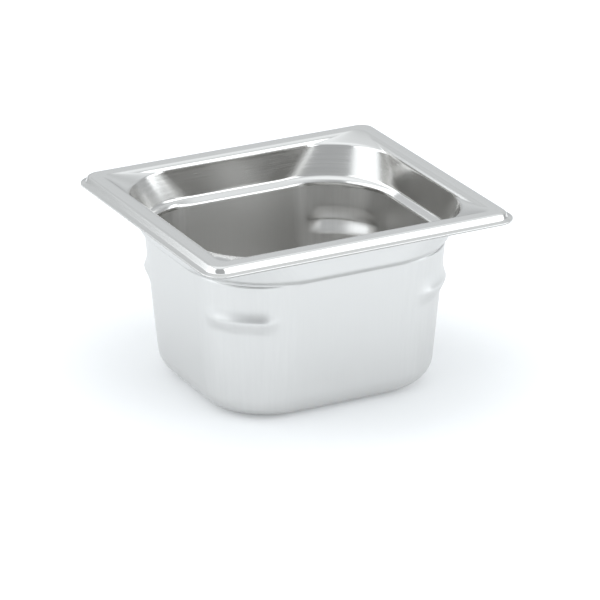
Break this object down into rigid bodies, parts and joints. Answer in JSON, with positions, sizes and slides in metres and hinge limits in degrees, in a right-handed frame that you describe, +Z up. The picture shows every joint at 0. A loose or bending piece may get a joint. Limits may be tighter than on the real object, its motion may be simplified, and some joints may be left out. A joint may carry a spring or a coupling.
{
  "type": "food pan",
  "caption": "Deep-drawn stainless steel food pan with a stepped rim, sloping mouth corners, a stacking ledge and rounded corners.",
  "frame": {"origin": "on the supporting surface, under the middle of the pan", "axes": "+X along the 176 mm side, +Y along the 162 mm side towards the back, +Z up out of the open mouth"},
  "size_m": [0.176, 0.162, 0.1],
  "materials": {
    "stainless_steel": "satin brushed 18/8 stainless sheet, brighter polish on the rim and mouth"
  },
  "bodies": {
    "root": {"pan_shell": "stainless_steel"}
  },
  "joints": []
}
